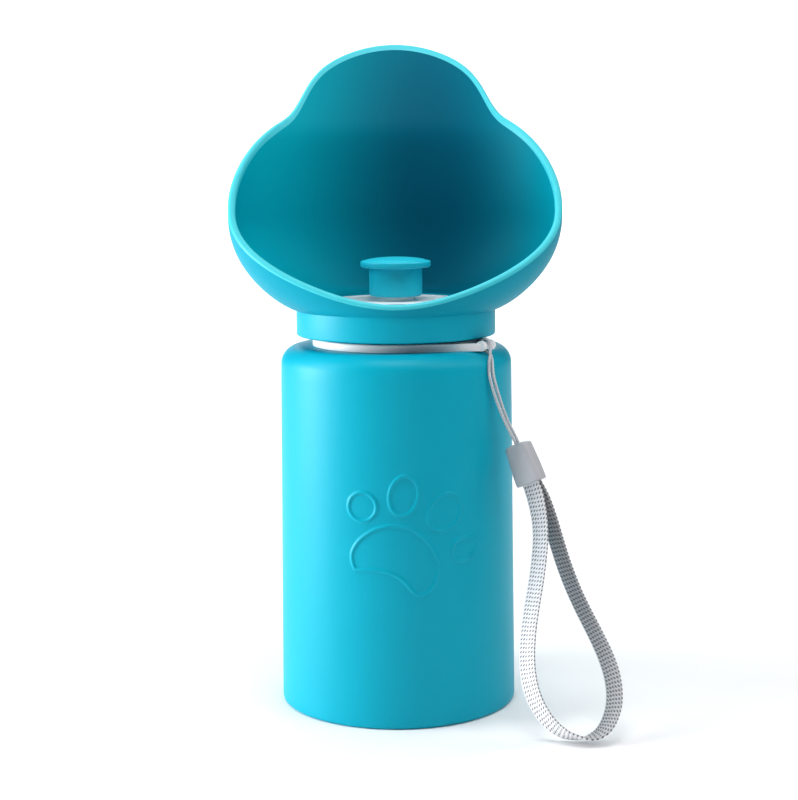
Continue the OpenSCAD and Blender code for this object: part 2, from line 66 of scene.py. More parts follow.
# ---- sizes from the frame ----

BASE_R = (high("bottle_body")[0] - low("bottle_body")[0]) / 2
MOUTH_Z = high("bottle_body")[2]
COLLAR_R = (high("screw_collar")[0] - low("screw_collar")[0]) / 2
COLLAR_Z = low("screw_collar")[2]
HOOD_Z = high("screw_collar")[2]
HOOD_HALF_W = (high("drinking_hood")[0] - low("drinking_hood")[0]) / 2
PLATE_Z = low("valve_plate")[2]
PLATE_R = (high("valve_plate")[0] - low("valve_plate")[0]) / 2
CAP_Z = low("valve_cap")[2]
CAP_TOP = high("valve_cap")[2]
CAP_R = (high("valve_cap")[0] - low("valve_cap")[0]) / 2
BAND_Z = low("tether_ring")[2]
SWING = next(j for j in frame["joints"] if j["name"] == "lanyard_swing")
EAR_AZ = math.atan2(SWING["pos_m"][1], SWING["pos_m"][0])
BAR_AT = math.hypot(SWING["pos_m"][0], SWING["pos_m"][1]) / MM
BAR_Z = SWING["pos_m"][2] / MM

# ---- sizes of the pieces ----

# Bottle body
SHOULDER_R = 35.9
SHOULDER_Z = 112.6
SHOULDER_ROUND = 8.0
BASE_ROUND = 1.2
BODY_WALL = 1.6
BASE_HOLLOW = 0.8
BASE_FLAT_R = 12.0
FOOT_R = 30.2
GROOVE_R = 24.3
FINISH_Z = 116.1
FINISH_R = 26.2
MOUTH_R = 22.4
THREAD_PITCH = 3.0
THREAD_H = 1.2
THREAD_Z = 117.25
RIDGE_ROOT = 1.5
RIDGE_CREST = 0.7

# Screw collar
BORE_R = 28.3
COLLAR_ROUND = 0.6
COLLAR_CREST_R = 26.7
COLLAR_THREAD_Z = 117.1
COLLAR_THREAD_START = math.radians(162)

# Drinking hood
HOOD_FRONT = 36.0
HOOD_BACK = 37.5
FLARE_H = 28.5
FLARE_EXP = 0.735
LIP_H = 1.5
LIP_R = COLLAR_R + 2.1
MOUTH_SLOPE = math.radians(43.4)
NOTCH_D = 4.6
NOTCH_AZ = 43.8
NOTCH_W = 8.4
CREASE_Z = HOOD_Z + 54.6
CREASE_SOFT = 3.0
LOBE_LEAN = 0.53
HOOD_WALL = 2.3
RIM_DEPTH = 1.2
HOOD_SIDES = 360
OUTSIDE_ROWS = 64
RIM_ROWS = 10
BOWL_ROWS = 64
FLOOR_ROWS = 5
FLOOR_CORNER = [(0.6, 0.25), (1.2, 0.06), (2.0, 0)]
FLOOR_TOP = 126.9
FLANGE_TOP = 125.0

# Valve
DISC_R = 22.8
DISC_TOP = 126.2
DISC_GAP = 0.4
DISC_GROOVES = [(20.9, 0.25), (19.0, 0.5), (17.1, 0.25), (14.5, 0.5), (11.9, 0.25)]
POST_R = 6.0
POST_TOP = 134.0
CHANNEL_R = 3.4
CAP_SKIRT_R = 8.25
CAP_FLANGE_Z = 136.5
CAP_EDGE_Z = 138.4
CAP_HOLLOW_R = 6.35
CAP_HOLLOW_TOP = 134.6

# Tether ring
BAND_IN = 24.7
BAND_T = 1.3
BAND_H = 2.6
BAR_R = 1.2
EAR_HALF = 1.85
EYE_R = 1.6
ARM_INSET = 0.2
EAR_ROUND = 0.18

# Lanyard: routes in the ear's own frame, out from the axis, along the bar and up
STRING_D = 1.0
STRANDS = 3
STRING_LAY = 3.2
STRAND_PRESS = 1.12
STRING_STEP = 0.22
WEB_W = 6.0
WEB_T = 0.9
SLEEVE_AT = (45.7, 2.3, 78.9)
SLEEVE_LEAN = math.radians(24)
SLEEVE_L = 12.6
SLEEVE_W = 9.0
SLEEVE_T = 5.6
SLEEVE_SQUARE = 4.6
TOP_SHARE = 0.86
TOP_SHARE_T = 0.94
TOP_ROUND_W = 2.0
TOP_ROUND_T = 1.1
FOOT_ROUND = 0.5
SLOT_DEPTH = 3.0
SLOT_GAP = 0.35
WEB_APART = 0.65
STRING_APART = 0.7
STRING_ROUTE = [
    (44.36, 1.6, 82.0), (43.1, 1.6, 84.7), (41.5, 1.1, 87.8), (40.0, 0.2, 91.4), (38.5, -0.9, 96),
    (37.3, -2.1, 101), (36.6, -3.0, 105.5), (36.0, -2.3, 109.2), (35.8, -1.4, 111.4),
    (35.4, -0.8, 113.7), (34.9, -0.55, 115.3), (33.7, -0.3, 116.0), (32.3, 0.0, 115.7),
    (31.5, 0.25, 114.6), (31.5, 0.4, 113.3), (32.3, 0.6, 112.3), (33.7, 0.7, 111.9),
    (35.0, 0.4, 110.9), (36.0, -0.5, 109), (36.9, -1.4, 105.5), (37.6, -0.4, 101),
    (38.8, 0.6, 96), (40.2, 1.6, 91.4), (41.7, 2.5, 87.8), (43.1, 3.0, 84.7), (44.36, 3.0, 82.0)]
WEB_ROUTE = [
    (47.04, 1.65, 75.8), (48.3, 1.65, 73.1), (49.8, 1.8, 69), (51.3, 1.6, 63), (52.3, 0.7, 57),
    (52.8, -0.9, 51), (53.1, -3.2, 44), (53.4, -6.0, 37), (54.0, -8.8, 30), (55.0, -11.0, 23.8),
    (56.8, -12.8, 17.6), (59.6, -13.9, 12.0), (63.4, -13.8, 7.0), (67.4, -12.6, 3.7),
    (71.5, -11.0, 2.4), (75.2, -8.8, 2.3), (77.6, -5.6, 3.9), (78.0, -1.4, 7.2), (77.2, 2.0, 11.5),
    (75.2, 4.4, 16.8), (71.9, 6.0, 22.6), (67.8, 6.6, 29), (63.6, 6.7, 35.5), (60.0, 6.6, 42),
    (57.0, 6.3, 49), (54.8, 5.9, 55.5), (52.9, 5.2, 62), (50.6, 4.1, 68.4), (48.3, 2.95, 73.1),
    (47.04, 2.95, 75.8)]
WEB_FACE = (0.92, -0.15, 0.2)
WEB_HOLD = 4.0
WEB_TURN = 14.0
TAPE_ROWS = 1240
TAPE_ROUND = 76
PICK_PITCH = 1.25
PICKS_ACROSS = 5.6
PICK_SLANT = 0.6
PICK_RELIEF = 0.20
HOLLOW_ACROSS = (0.40, 3.0)
HOLLOW_ALONG = (0.26, 2.0)
SECTION_POWERS = (0.75, 0.35)
# How much darker the tape's back face is painted: painted shade
BACK_PAINTED_SHADE = 0.36

# Paw outline: its middle, how far fine rows and columns reach and their steps, the line, the toes as
# (x, z, half width, half height, turn) and the pad's points
PAW_AT = (1.5, 57.0)
PAW_BELOW = 17.5
PAW_ABOVE = 22.5
PAW_SIDE = math.radians(36)
PAW_ROW = 0.26
PAW_COLUMN = 0.27
LINE_W = 1.3
LINE_H = 0.4
TOES = [(-11.8, 11, 4.1, 4.3, 0), (0.4, 14.4, 4.3, 6.0, -10),
        (12.5, 8.9, 4.7, 5.9, -30), (18.2, -3, 3.6, 3.6, 0)]
PAD = [
    (-14.4, -7.6), (-15.1, -3.6), (-13.2, 0.4), (-9.4, 3.6), (-5.4, 5.2), (-1.6, 5.5),
    (2.6, 4.5), (6.8, 1.0), (9.8, -3.6), (10.5, -8.2), (9.6, -12.2), (7.8, -14.9), (5.6, -15.8),
    (3.4, -14.9), (0.0, -11.0), (-3.6, -8.9), (-8.2, -8.0), (-12.4, -8.0)]

# Camera: where the photograph was taken from
CAMERA_AT = (0.75, -532.9, 171.5)
CAMERA_PITCH = math.radians(8.19)
CAMERA_ROLL = math.radians(-0.45)
CAMERA_LENS = 77.3


# ---- paths and outlines ----

def smooth(points, steps, closed=False):
    """A curve through the points, as the frame's own routes are smoothed, steps pieces to each stretch."""
    p = np.array(points, float)
    n = len(p)
    out = []
    for i in range(n if closed else n - 1):
        at = [(i + k) % n if closed else min(max(i + k, 0), n - 1) for k in (-1, 0, 1, 2)]
        a, b, c, d = p[at]
        for t in np.arange(steps) / steps:
            out.append((2 * b + (c - a) * t + (2 * a - 5 * b + 4 * c - d) * t ** 2
                        + (3 * b - a - 3 * c + d) * t ** 3) / 2)
    return np.array(out if closed else out + [p[-1]])


def path_length(path):
    return float(np.linalg.norm(np.diff(path, axis=0), axis=1).sum()) * MM


def from_ear(points):
    """Points in the ear's own frame, turned into the bottle's."""
    turn = np.array(Matrix.Rotation(EAR_AZ, 3, "Z"))
    return np.array(points, float) @ turn.T


def rounded(corners, steps=5):
    """An outline of (r, z, radius) corners, each rounded with an arc."""
    out = []
    for i, (x, y, radius) in enumerate(corners):
        here = np.array([x, y], float)
        if radius <= 0:
            out.append(here)
            continue
        before = np.array(corners[i - 1][:2]) - here
        after = np.array(corners[(i + 1) % len(corners)][:2]) - here
        u, v = before / np.linalg.norm(before), after / np.linalg.norm(after)
        half = math.acos(np.clip(u @ v, -1, 1)) / 2
        reach = min(radius / math.tan(half), 0.49 * np.linalg.norm(before), 0.49 * np.linalg.norm(after))
        radius = reach * math.tan(half)
        middle = here + (u + v) / np.linalg.norm(u + v) * radius / math.sin(half)
        a0 = math.atan2(*(here + u * reach - middle)[::-1])
        a1 = math.atan2(*(here + v * reach - middle)[::-1])
        sweep = (a1 - a0 + math.pi) % (2 * math.pi) - math.pi
        for k in range(steps + 1):
            a = a0 + sweep * k / steps
            out.append(middle + radius * np.array([math.cos(a), math.sin(a)]))
    return np.array(out)


# ---- meshes ----

def piece(name, verts, faces, material, sharp=40, recalculate=True):
    """A piece in metres with shared points, closed poles and outward faces."""
    mesh = bpy.data.meshes.new(name)
    mesh.from_pydata((np.array(verts) * MM).tolist(), [], [list(f) for f in faces])
    bm = bmesh.new()
    bm.from_mesh(mesh)
    bmesh.ops.remove_doubles(bm, verts=bm.verts, dist=1e-6)
    bmesh.ops.dissolve_degenerate(bm, edges=bm.edges, dist=1e-7)
    if recalculate:
        bmesh.ops.recalc_face_normals(bm, faces=bm.faces)
    bm.to_mesh(mesh)
    bm.free()
    mesh.shade_smooth()
    mesh.set_sharp_from_angle(angle=math.radians(sharp))
    mesh.materials.append(material)
    obj = bpy.data.objects.new(name, mesh)
    bpy.context.scene.collection.objects.link(obj)
    return obj


def ring_faces(rings, sides, close_rings):
    """Faces between rings of points; the last ring joins the first where the section is closed."""
    return [(i * sides + j, i * sides + (j + 1) % sides,
             (i + 1) % rings * sides + (j + 1) % sides, (i + 1) % rings * sides + j)
            for i in range(rings if close_rings else rings - 1) for j in range(sides)]


def turned(name, outline, material, sides=192, sharp=40):
    """A piece turned on the bottle's axis from a closed outline of (r, z) points."""
    a = np.arange(sides) * 2 * math.pi / sides
    verts = [(r * math.cos(t), r * math.sin(t), z) for r, z in outline for t in a]
    return piece(name, verts, ring_faces(len(outline), sides, True), material, sharp)


def joined(name, objects, material):
    """Several closed meshes as one piece."""
    verts, faces = [], []
    for o in objects:
        start = len(verts)
        verts += [np.array(v.co) / MM for v in o.data.vertices]
        faces += [[start + i for i in p.vertices] for p in o.data.polygons]
        bpy.data.objects.remove(o)
    return piece(name, verts, faces, material)


def box_mesh(centre, size, turn):
    """Corners and faces of a block turned about Z."""
    c, s = math.cos(turn), math.sin(turn)
    verts = []
    for x in (-0.5, 0.5):
        for y in (-0.5, 0.5):
            for z in (-0.5, 0.5):
                dx, dy = x * size[0], y * size[1]
                verts.append((centre[0] + c * dx - s * dy, centre[1] + s * dx + c * dy, centre[2] + z * size[2]))
    faces = [(0, 1, 3, 2), (4, 6, 7, 5), (0, 4, 5, 1), (2, 3, 7, 6), (0, 2, 6, 4), (1, 5, 7, 3)]
    return verts, faces


# ---- materials ----

def linked(tree, kind, values=None, **settings):
    """A node with its sockets set, by name, to values or to other nodes' outputs."""
    node = tree.nodes.new(kind)
    for key, value in settings.items():
        setattr(node, key, value)
    for key, value in (values or {}).items():
        socket = node.inputs[key]
        if isinstance(value, bpy.types.NodeSocket):
            tree.links.new(value, socket)
        else:
            socket.default_value = value
    return node


def blended(tree, factor, first, second):
    """Colour between two colours by a factor socket."""
    node = linked(tree, "ShaderNodeMix", {}, data_type="RGBA")
    tree.links.new(factor, node.inputs[0])
    for socket, value in ((node.inputs[6], first), (node.inputs[7], second)):
        if isinstance(value, bpy.types.NodeSocket):
            tree.links.new(value, socket)
        else:
            socket.default_value = (*value, 1)
    return node.outputs[2]


# Patterns, in repeats to the metre, and the height of the grain in metres
CLOUD_SCALE = 28
GRAIN_SCALE = 2600
FIBRE_SCALE = 3000
GRAIN_H = 0.0002

# The bowl's painted shade, a darker tone deep in the bowl, in metres: the place it is darkest, how far it reaches,
# and how it stretches
BOWL_SHADE_STRETCH = (1, 0, 0.35)
BOWL_SHADE_MIDDLE = (0.013, 0, 0.058)
BOWL_SHADE_NEAR = 0.004
BOWL_SHADE_FAR = 0.058


def finish(name):
    """A new material, its tree, its shader and the place on the piece."""
    material = bpy.data.materials.new(name)
    material.use_nodes = True
    tree = material.node_tree
    shader = tree.nodes["Principled BSDF"]
    return material, tree, shader, linked(tree, "ShaderNodeTexCoord").outputs["Object"]


def moulded(name, colour, shade, roughness, grain=0.02, gloss=0.5, deep=None):
    """Moulded plastic: cloudy colour, a fine grain in the surface and uneven gloss.

    deep is painted shade: a darker tone that the colour runs into towards the bottom of the bowl.
    """
    material, tree, shader, place = finish(name)
    cloud = linked(tree, "ShaderNodeTexNoise", {
        "Vector": place, "Scale": CLOUD_SCALE, "Detail": 4, "Roughness": 0.55})
    fine = linked(tree, "ShaderNodeTexNoise", {
        "Vector": place, "Scale": GRAIN_SCALE, "Detail": 3, "Roughness": 0.6})
    tone = blended(tree, cloud.outputs["Fac"], colour, shade)
    # Painted shade: the colour darkens towards a place deep in the bowl
    if deep:
        flat = linked(tree, "ShaderNodeVectorMath", {0: place, 1: BOWL_SHADE_STRETCH}, operation="MULTIPLY")
        away = linked(tree, "ShaderNodeVectorMath", {0: flat.outputs[0], 1: BOWL_SHADE_MIDDLE}, operation="DISTANCE")
        reach = linked(tree, "ShaderNodeMapRange", {
            "Value": away.outputs["Value"], "From Min": BOWL_SHADE_NEAR, "From Max": BOWL_SHADE_FAR},
            interpolation_type="SMOOTHSTEP")
        tone = blended(tree, reach.outputs["Result"], deep, tone)
    tree.links.new(tone, shader.inputs["Base Color"])
    uneven = linked(tree, "ShaderNodeMapRange", {
        "Value": fine.outputs["Fac"], "From Min": 0.3, "From Max": 0.7,
        "To Min": roughness - 0.04, "To Max": roughness + 0.06})
    tree.links.new(uneven.outputs["Result"], shader.inputs["Roughness"])
    bump = linked(tree, "ShaderNodeBump", {
        "Height": fine.outputs["Fac"], "Strength": grain, "Distance": GRAIN_H})
    tree.links.new(bump.outputs["Normal"], shader.inputs["Normal"])
    shader.inputs["Specular IOR Level"].default_value = gloss
    return material


def yarn(name, colour, dark, scale, roughness=0.8, sheen=0.3):
    """Fibre: fine streaks of lighter and darker thread with a soft sheen."""
    material, tree, shader, place = finish(name)
    fibre = linked(tree, "ShaderNodeTexNoise", {"Vector": place, "Scale": scale, "Detail": 5, "Roughness": 0.7})
    tree.links.new(blended(tree, fibre.outputs["Fac"], dark, colour), shader.inputs["Base Color"])
    bump = linked(tree, "ShaderNodeBump", {"Height": fibre.outputs["Fac"], "Strength": 0.3, "Distance": GRAIN_H})
    tree.links.new(bump.outputs["Normal"], shader.inputs["Normal"])
    shader.inputs["Roughness"].default_value = roughness
    shader.inputs["Sheen Weight"].default_value = sheen
    return material


TEAL = moulded("teal_satin", (0.0, 0.42, 0.56), (0.0, 0.39, 0.525), 0.42, grain=0.03, gloss=0.25)
# A darker copy of the body's teal: painted shade on the hood's outside and underside
TEAL_HOOD_PAINTED_SHADE = moulded("teal_hood_painted_shade", (0.0, 0.34, 0.46), (0.0, 0.315, 0.43), 0.45, grain=0.03, gloss=0.15)
# The bowl's inside: teal with painted shade, darkening towards the bottom of the bowl
TEAL_BOWL_PAINTED_SHADE = moulded("teal_bowl_painted_shade", (0.0, 0.42, 0.52), (0.0, 0.39, 0.49), 0.5, grain=0.03, gloss=0.08,
                    deep=(0.0, 0.12, 0.19))
# A lighter copy of the teal on the rim: a painted highlight along the lip
TEAL_RIM_PAINTED_HIGHLIGHT = moulded("teal_rim_painted_highlight", (0.07, 0.60, 0.69), (0.06, 0.57, 0.66), 0.40, grain=0.03, gloss=0.35)
# A lighter copy of the body's teal: painted light on the valve cap
TEAL_CAP_PAINTED_LIGHT = moulded("teal_cap_painted_light", (0.02, 0.52, 0.66), (0.015, 0.49, 0.63), 0.40, grain=0.03, gloss=0.35)
WHITE = moulded("white_plastic", (0.92, 0.92, 0.93), (0.89, 0.89, 0.90), 0.36)
SILICONE = moulded("milky_silicone", (0.70, 0.72, 0.72), (0.64, 0.66, 0.66), 0.5)
SEAL = moulded("seal_rubber", (0.03, 0.03, 0.03), (0.02, 0.02, 0.02), 0.6, grain=0.1)
SLEEVE = moulded("grey_sleeve", (0.52, 0.53, 0.56), (0.48, 0.49, 0.52), 0.35)
STRING = yarn("string_fibre", (0.78, 0.79, 0.82), (0.5, 0.51, 0.54), 1500, roughness=0.45)


def woven():
    """Tape: the picks stand out light, and the hollows between them are painted dark as shade, by the stored relief;
    the back face is painted darker as shade.
    """
    material, tree, shader, place = finish("woven_tape")
    relief = linked(tree, "ShaderNodeAttribute", attribute_name="weave")
    fibre = linked(tree, "ShaderNodeTexNoise", {
        "Vector": place, "Scale": FIBRE_SCALE, "Detail": 4, "Roughness": 0.7})
    ramp = linked(tree, "ShaderNodeMapRange", {
        "Value": relief.outputs["Fac"], "From Min": 0.35, "From Max": 0.85, "To Min": 0.0, "To Max": 1.0})
    light = blended(tree, fibre.outputs["Fac"], (0.70, 0.70, 0.73), (0.86, 0.86, 0.89))
    # The hollows between the picks take the dark grey: painted shade in the recesses
    tree.links.new(blended(tree, ramp.outputs["Result"], (0.15, 0.15, 0.16), light), shader.inputs["Base Color"])
    bump = linked(tree, "ShaderNodeBump", {"Height": fibre.outputs["Fac"], "Strength": 0.25, "Distance": GRAIN_H / 2})
    tree.links.new(bump.outputs["Normal"], shader.inputs["Normal"])
    shader.inputs["Roughness"].default_value = 0.6
    shader.inputs["Sheen Weight"].default_value = 0.25
    return material


# ---- geometry nodes ----

class Growth:
    """A Geometry Nodes tree with named inputs, grown on a path and turned into a plain mesh."""

    def __init__(self, name, inputs):
        self.tree = bpy.data.node_groups.new(name, "GeometryNodeTree")
        face = self.tree.interface
        face.new_socket("Geometry", in_out="INPUT", socket_type="NodeSocketGeometry")
        face.new_socket("Geometry", in_out="OUTPUT", socket_type="NodeSocketGeometry")
        kinds = {float: "NodeSocketFloat", int: "NodeSocketInt", tuple: "NodeSocketVector"}
        self.sockets = {}
        for label, value in inputs.items():
            kind = kinds.get(type(value), "NodeSocketMaterial")
            self.sockets[label] = face.new_socket(label, in_out="INPUT", socket_type=kind).identifier
        self.values = inputs
        self.given = self.tree.nodes.new("NodeGroupInput").outputs

    def node(self, kind, values=None, **settings):
        return linked(self.tree, kind, values, **settings)

    def maths(self, operation, a, b=0.0, c=0.0):
        node = self.tree.nodes.new("ShaderNodeMath")
        node.operation = operation
        for socket, value in zip(node.inputs, (a, b, c)):
            if isinstance(value, bpy.types.NodeSocket):
                self.tree.links.new(value, socket)
            else:
                socket.default_value = value
        return node.outputs[0]

    def vectors(self, operation, a, b=None, scale=None):
        node = self.tree.nodes.new("ShaderNodeVectorMath")
        node.operation = operation
        for socket, value in ((node.inputs[0], a), (node.inputs[1], b), (node.inputs[3], scale)):
            if isinstance(value, bpy.types.NodeSocket):
                self.tree.links.new(value, socket)
            elif value is not None:
                socket.default_value = value
        return node.outputs["Value" if operation in ("DOT_PRODUCT", "LENGTH") else "Vector"]

    def finish(self, mesh, path, name):
        """Ends the tree, runs it on a path in millimetres and gives back the piece."""
        real = self.node("GeometryNodeRealizeInstances", {"Geometry": mesh})
        soft = self.node("GeometryNodeSetShadeSmooth", {"Geometry": real.outputs[0]})
        dressed = self.node("GeometryNodeSetMaterial", {
            "Geometry": soft.outputs[0], "Material": self.given["Material"]})
        end = self.tree.nodes.new("NodeGroupOutput")
        self.tree.links.new(dressed.outputs[0], end.inputs[0])
        line = bpy.data.curves.new(name + "_path", "CURVE")
        line.dimensions = "3D"
        spline = line.splines.new("POLY")
        spline.points.add(len(path) - 1)
        spline.points.foreach_set("co", np.column_stack([np.array(path) * MM, np.ones(len(path))]).ravel())
        carrier = bpy.data.objects.new(name + "_path", line)
        bpy.context.scene.collection.objects.link(carrier)
        modifier = carrier.modifiers.new("growth", "NODES")
        modifier.node_group = self.tree
        for label, value in self.values.items():
            modifier[self.sockets[label]] = value
        bpy.context.view_layer.update()
        grown = bpy.data.meshes.new_from_object(carrier.evaluated_get(bpy.context.evaluated_depsgraph_get()))
        carrier.modifiers.remove(modifier)
        bpy.data.objects.remove(carrier)
        obj = bpy.data.objects.new(name, grown)
        bpy.context.scene.collection.objects.link(obj)
        return obj


def twisted_cord(name, path, diameter, strands, lay_length, material):
    """Strands wound round each other along a path, pressed a little into each other."""
    thread = diameter * MM / (2 * (1 + 1 / math.sin(math.pi / strands))) * STRAND_PRESS
    g = Growth("twisted_strands", {
        "Strand Radius": thread, "Winding Radius": diameter * MM / 2 - thread,
        "Lay Length": lay_length * MM, "Strands": strands, "Material": material})
    given = g.given
    path_node = g.node("GeometryNodeResampleCurve", {
        "Curve": given["Geometry"], "Length": STRING_STEP * MM}, mode="LENGTH")
    copies = g.node("GeometryNodeDuplicateElements", {
        "Geometry": path_node.outputs[0], "Amount": given["Strands"]}, domain="SPLINE")
    along = g.node("GeometryNodeSplineParameter").outputs["Length"]
    tangent = g.node("GeometryNodeInputTangent").outputs[0]
    normal = g.node("GeometryNodeInputNormal").outputs[0]
    side = g.vectors("CROSS_PRODUCT", tangent, normal)
    share = g.maths("DIVIDE", copies.outputs["Duplicate Index"], given["Strands"])
    turns = g.maths("ADD", g.maths("DIVIDE", along, given["Lay Length"]), share)
    angle = g.maths("MULTIPLY", turns, 2 * math.pi)
    out = g.vectors("ADD", g.vectors("SCALE", normal, scale=g.maths("COSINE", angle)),
                    g.vectors("SCALE", side, scale=g.maths("SINE", angle)))
    moved = g.node("GeometryNodeSetPosition", {
        "Geometry": copies.outputs["Geometry"],
        "Offset": g.vectors("SCALE", out, scale=given["Winding Radius"])})
    circle = g.node("GeometryNodeCurvePrimitiveCircle", {"Resolution": 8, "Radius": given["Strand Radius"]})
    tube = g.node("GeometryNodeCurveToMesh", {
        "Curve": moved.outputs[0], "Profile Curve": circle.outputs[0], "Fill Caps": True})
    return g.finish(tube.outputs[0], path, name)


def woven_tape(name, path, material):
    """A flat tape with straight rows of small slanted hollows across both faces, storing for its colour the relief,
    with the back face darkened as painted shade.
    """
    g = Growth("woven_tape_growth", {
        "Width": WEB_W * MM, "Thickness": WEB_T * MM, "Relief": PICK_RELIEF * MM, "Pick Pitch": PICK_PITCH * MM,
        "Picks Across": PICKS_ACROSS, "Slant": PICK_SLANT, "Back Painted Shade": BACK_PAINTED_SHADE,
        "Face": tuple(from_ear([WEB_FACE])[0] / np.linalg.norm(WEB_FACE)),
        "Sleeve Face": tuple(from_ear([(math.cos(SLEEVE_LEAN), 0, math.sin(SLEEVE_LEAN))])[0]),
        "Hold": WEB_HOLD * MM, "Turn": WEB_TURN * MM, "Length": path_length(path), "Material": material})
    given = g.given
    grid = g.node("GeometryNodeMeshGrid", {
        "Size X": 1.0, "Size Y": 1.0, "Vertices X": TAPE_ROWS, "Vertices Y": TAPE_ROUND})
    spot = g.node("ShaderNodeSeparateXYZ", {"Vector": g.node("GeometryNodeInputPosition").outputs[0]})
    along = g.maths("ADD", spot.outputs["X"], 0.5)
    around = g.maths("MULTIPLY", g.maths("ADD", spot.outputs["Y"], 0.5), 2 * math.pi)
    here = g.node("GeometryNodeSampleCurve", {"Curves": given["Geometry"], "Factor": along}, mode="FACTOR")
    tangent = here.outputs["Tangent"]
    end_share = g.maths("SUBTRACT", 0.5, g.maths("ABSOLUTE", spot.outputs["X"]))
    from_end = g.maths("MULTIPLY", end_share, given["Length"])
    turned_away = g.node("ShaderNodeMapRange", {
        "Value": from_end, "From Min": given["Hold"], "From Max": g.maths("ADD", given["Hold"], given["Turn"])},
        interpolation_type="SMOOTHSTEP").outputs[0]
    face = g.vectors("ADD", g.vectors("SCALE", given["Face"], scale=turned_away),
                     g.vectors("SCALE", given["Sleeve Face"], scale=g.maths("SUBTRACT", 1.0, turned_away)))
    lean = g.vectors("SCALE", tangent, scale=g.vectors("DOT_PRODUCT", face, tangent))
    across = g.vectors("NORMALIZE", g.vectors("SUBTRACT", face, lean))
    up = g.vectors("CROSS_PRODUCT", tangent, across)

    def squared(value, power):
        size = g.maths("POWER", g.maths("ABSOLUTE", value), power)
        return g.maths("MULTIPLY", g.maths("SIGN", value), size)

    wide = squared(g.maths("COSINE", around), SECTION_POWERS[0])
    thick = squared(g.maths("SINE", around), SECTION_POWERS[1])
    travel = g.maths("DIVIDE", g.maths("MULTIPLY", along, given["Length"]), given["Pick Pitch"])
    lane = g.maths("MULTIPLY", wide, g.maths("MULTIPLY", given["Picks Across"], 0.5))

    def from_middle(phase):
        return g.maths("SUBTRACT", g.maths("FRACT", g.maths("ADD", phase, 0.5)), 0.5)

    def hollow(offset, reach, power):
        share = g.maths("DIVIDE", g.maths("ABSOLUTE", offset), reach)
        return g.maths("MAXIMUM", g.maths("SUBTRACT", 1.0, g.maths("POWER", share, power)), 0.0)

    across_pick = from_middle(lane)
    along_pick = from_middle(g.maths("ADD", travel, g.maths("MULTIPLY", across_pick, given["Slant"])))
    deep = g.maths("MULTIPLY", hollow(across_pick, *HOLLOW_ACROSS), hollow(along_pick, *HOLLOW_ALONG))
    weave = g.maths("SUBTRACT", 1.0, deep)
    edge = g.maths("MULTIPLY", g.maths("ABSOLUTE", thick), given["Relief"])
    lift = g.maths("MULTIPLY", g.maths("SUBTRACT", weave, 0.8), edge)
    half = g.maths("ADD", g.maths("MULTIPLY", given["Thickness"], 0.5), lift)
    place = g.vectors("ADD", here.outputs["Position"], g.vectors("ADD",
        g.vectors("SCALE", across, scale=g.maths("MULTIPLY", wide, g.maths("MULTIPLY", given["Width"], 0.5))),
        g.vectors("SCALE", up, scale=g.maths("MULTIPLY", thick, half))))
    # Painted shade: the back face of the tape is stored darker
    on_back = g.maths("MULTIPLY", g.maths("SUBTRACT", 1.0, g.maths("SIGN", thick)), 0.5)
    weave_with_painted_shade = g.maths("MULTIPLY", weave, g.maths("SUBTRACT", 1.0, g.maths("MULTIPLY", on_back, given["Back Painted Shade"])))
    marked = g.node("GeometryNodeStoreNamedAttribute", {
        "Geometry": grid.outputs["Mesh"], "Name": "weave", "Value": weave_with_painted_shade}, data_type="FLOAT", domain="POINT")
    laid = g.node("GeometryNodeSetPosition", {"Geometry": marked.outputs[0], "Position": place})
    shut = g.node("GeometryNodeMergeByDistance", {"Geometry": laid.outputs[0], "Distance": 1e-6})
    return g.finish(shut.outputs[0], path, name)


# ---- camera ----

def add_camera():
    data = bpy.data.cameras.new("photo_camera")
    data.lens = CAMERA_LENS
    data.sensor_width = 36
    camera = bpy.data.objects.new("photo_camera", data)
    turn = Matrix.Rotation(math.pi / 2 - CAMERA_PITCH, 4, "X") @ Matrix.Rotation(CAMERA_ROLL, 4, "Z")
    camera.matrix_world = Matrix.Translation([c * MM for c in CAMERA_AT]) @ turn
    bpy.context.scene.collection.objects.link(camera)
    bpy.context.scene.camera = camera


# ---- lanyard ----

